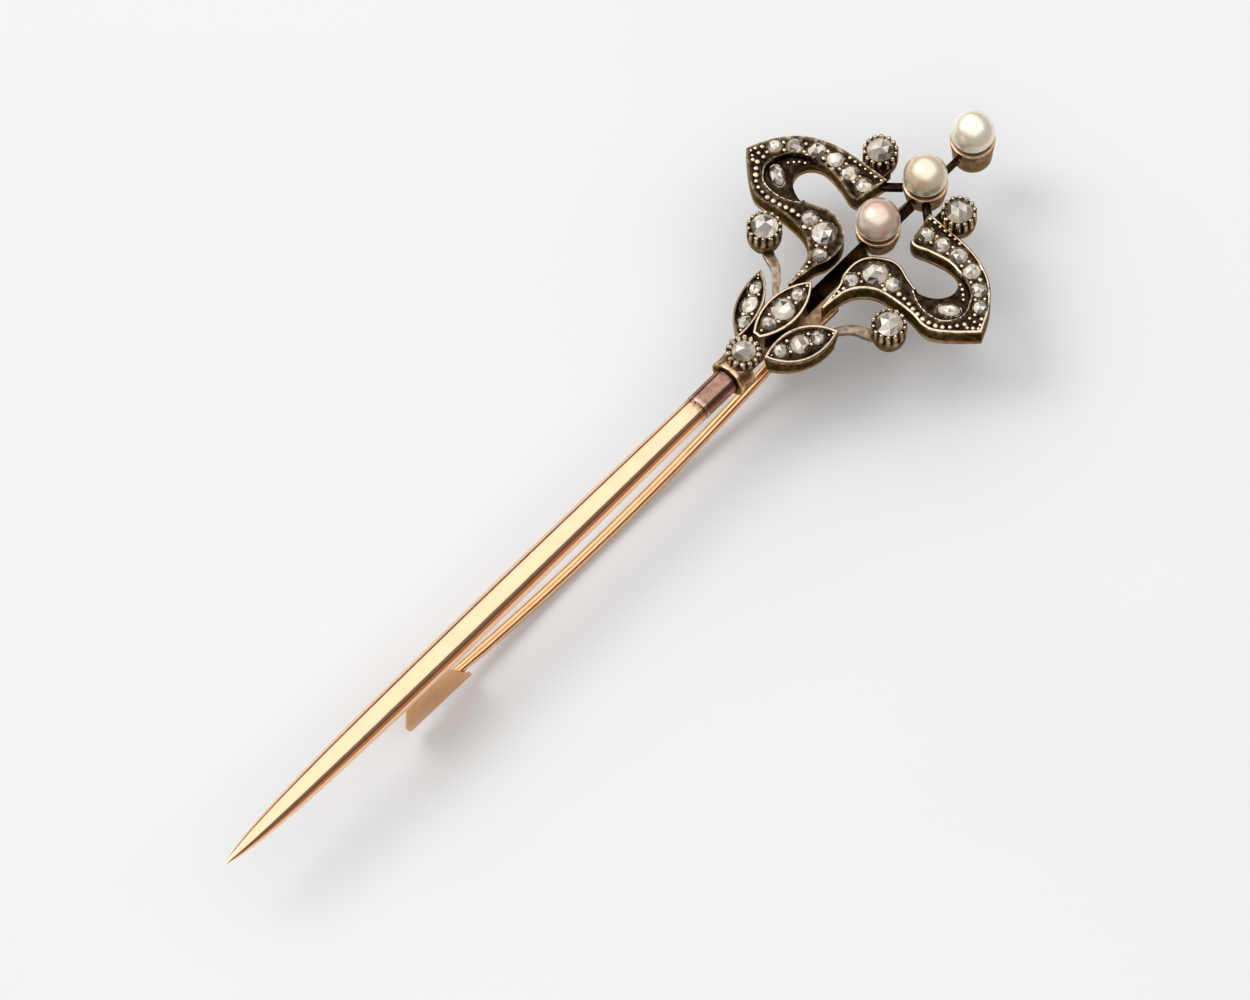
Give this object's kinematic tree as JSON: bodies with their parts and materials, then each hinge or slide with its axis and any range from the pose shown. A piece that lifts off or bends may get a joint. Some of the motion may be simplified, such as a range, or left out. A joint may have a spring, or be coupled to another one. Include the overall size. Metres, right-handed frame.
{
  "type": "stick brooch",
  "caption": "Gold stick brooch with a lily head of silver set with rose-cut stones and pearls, with a hinged pin stem and a C-catch behind.",
  "frame": {"origin": "on the surface that the brooch lies on, below the middle of its length and width; the pin stem's bow touches that surface", "axes": "+Y along the brooch from the blade's point to the end pearl, +Z out of the jewelled face, +X to the right of the face with the pearls up"},
  "size_m": [0.0234, 0.0838, 0.0103],
  "materials": {
    "blade_gold": "polished rose gold, mirror bright",
    "patina_gold": "rose gold with a purple-brown patina",
    "backing_gold": "gold, soft polish, toned",
    "cup_gold": "darkened silver gilt with worn rims",
    "pin_gold": "drawn gold wire, bright",
    "catch_gold": "gold sheet, satin",
    "silver": "oxidised silver, dark recesses and rubbed edges",
    "stem_silver_gilt": "worn silver gilt, matt",
    "diamond": "rose-cut, closed back, slightly grey",
    "pearl_pink": "pearl, pinkish with a green overtone",
    "pearl_cream": "pearl, cream",
    "pearl_ivory": "pearl, ivory white"
  },
  "bodies": {
    "root": {"blade": "blade_gold", "ferrule": "patina_gold", "collar": "patina_gold", "head_plug": "patina_gold", "back_plate": "backing_gold", "base_collet": "silver", "base_diamond": "diamond", "centre_leaf": "silver", "centre_leaf_diamonds": "diamond", "left_leaf": "silver", "left_leaf_diamonds": "diamond", "right_leaf": "silver", "right_leaf_diamonds": "diamond", "left_petal": "silver", "left_petal_backing": "backing_gold", "left_petal_diamonds": "diamond", "right_petal": "silver", "right_petal_backing": "backing_gold", "right_petal_diamonds": "diamond", "left_outer_stem": "stem_silver_gilt", "left_outer_collet": "silver", "left_outer_diamond": "diamond", "right_outer_stem": "stem_silver_gilt", "right_outer_collet": "silver", "right_outer_diamond": "diamond", "left_upper_neck": "silver", "left_upper_collet": "silver", "left_upper_diamond": "diamond", "right_upper_neck": "silver", "right_upper_collet": "silver", "right_upper_diamond": "diamond", "left_link": "silver", "right_link": "silver", "centre_bar": "silver", "lower_spine_bar": "silver", "upper_spine_bar": "silver", "pearl_cup_1": "cup_gold", "pearl_cup_2": "cup_gold", "pearl_cup_3": "cup_gold", "pearl_peg_1": "backing_gold", "pearl_peg_2": "backing_gold", "pearl_peg_3": "backing_gold", "pearl_1": "pearl_pink", "pearl_2": "pearl_cream", "pearl_3": "pearl_ivory", "hinge_bracket": "backing_gold", "catch": "catch_gold"},
    "pin_pivot": {"hinge_rivet": "pin_gold"},
    "pin": {"pin_knuckle": "pin_gold", "pin_stem": "pin_gold"}
  },
  "joints": [
    {"name": "pin_flex", "type": "hinge", "parent": "root", "child": "pin_pivot", "pos_m": [0, 0.0186, 0.00245], "axis": [0, 0, 1], "range_deg": [0, 0.41], "stiffness_Nm_per_rad": 0.005},
    {"name": "pin_swing", "type": "hinge", "parent": "pin_pivot", "child": "pin", "pos_m": [0, 0.0186, 0.00245], "axis": [1, 0, 0], "range_deg": [0, 105]}
  ]
}
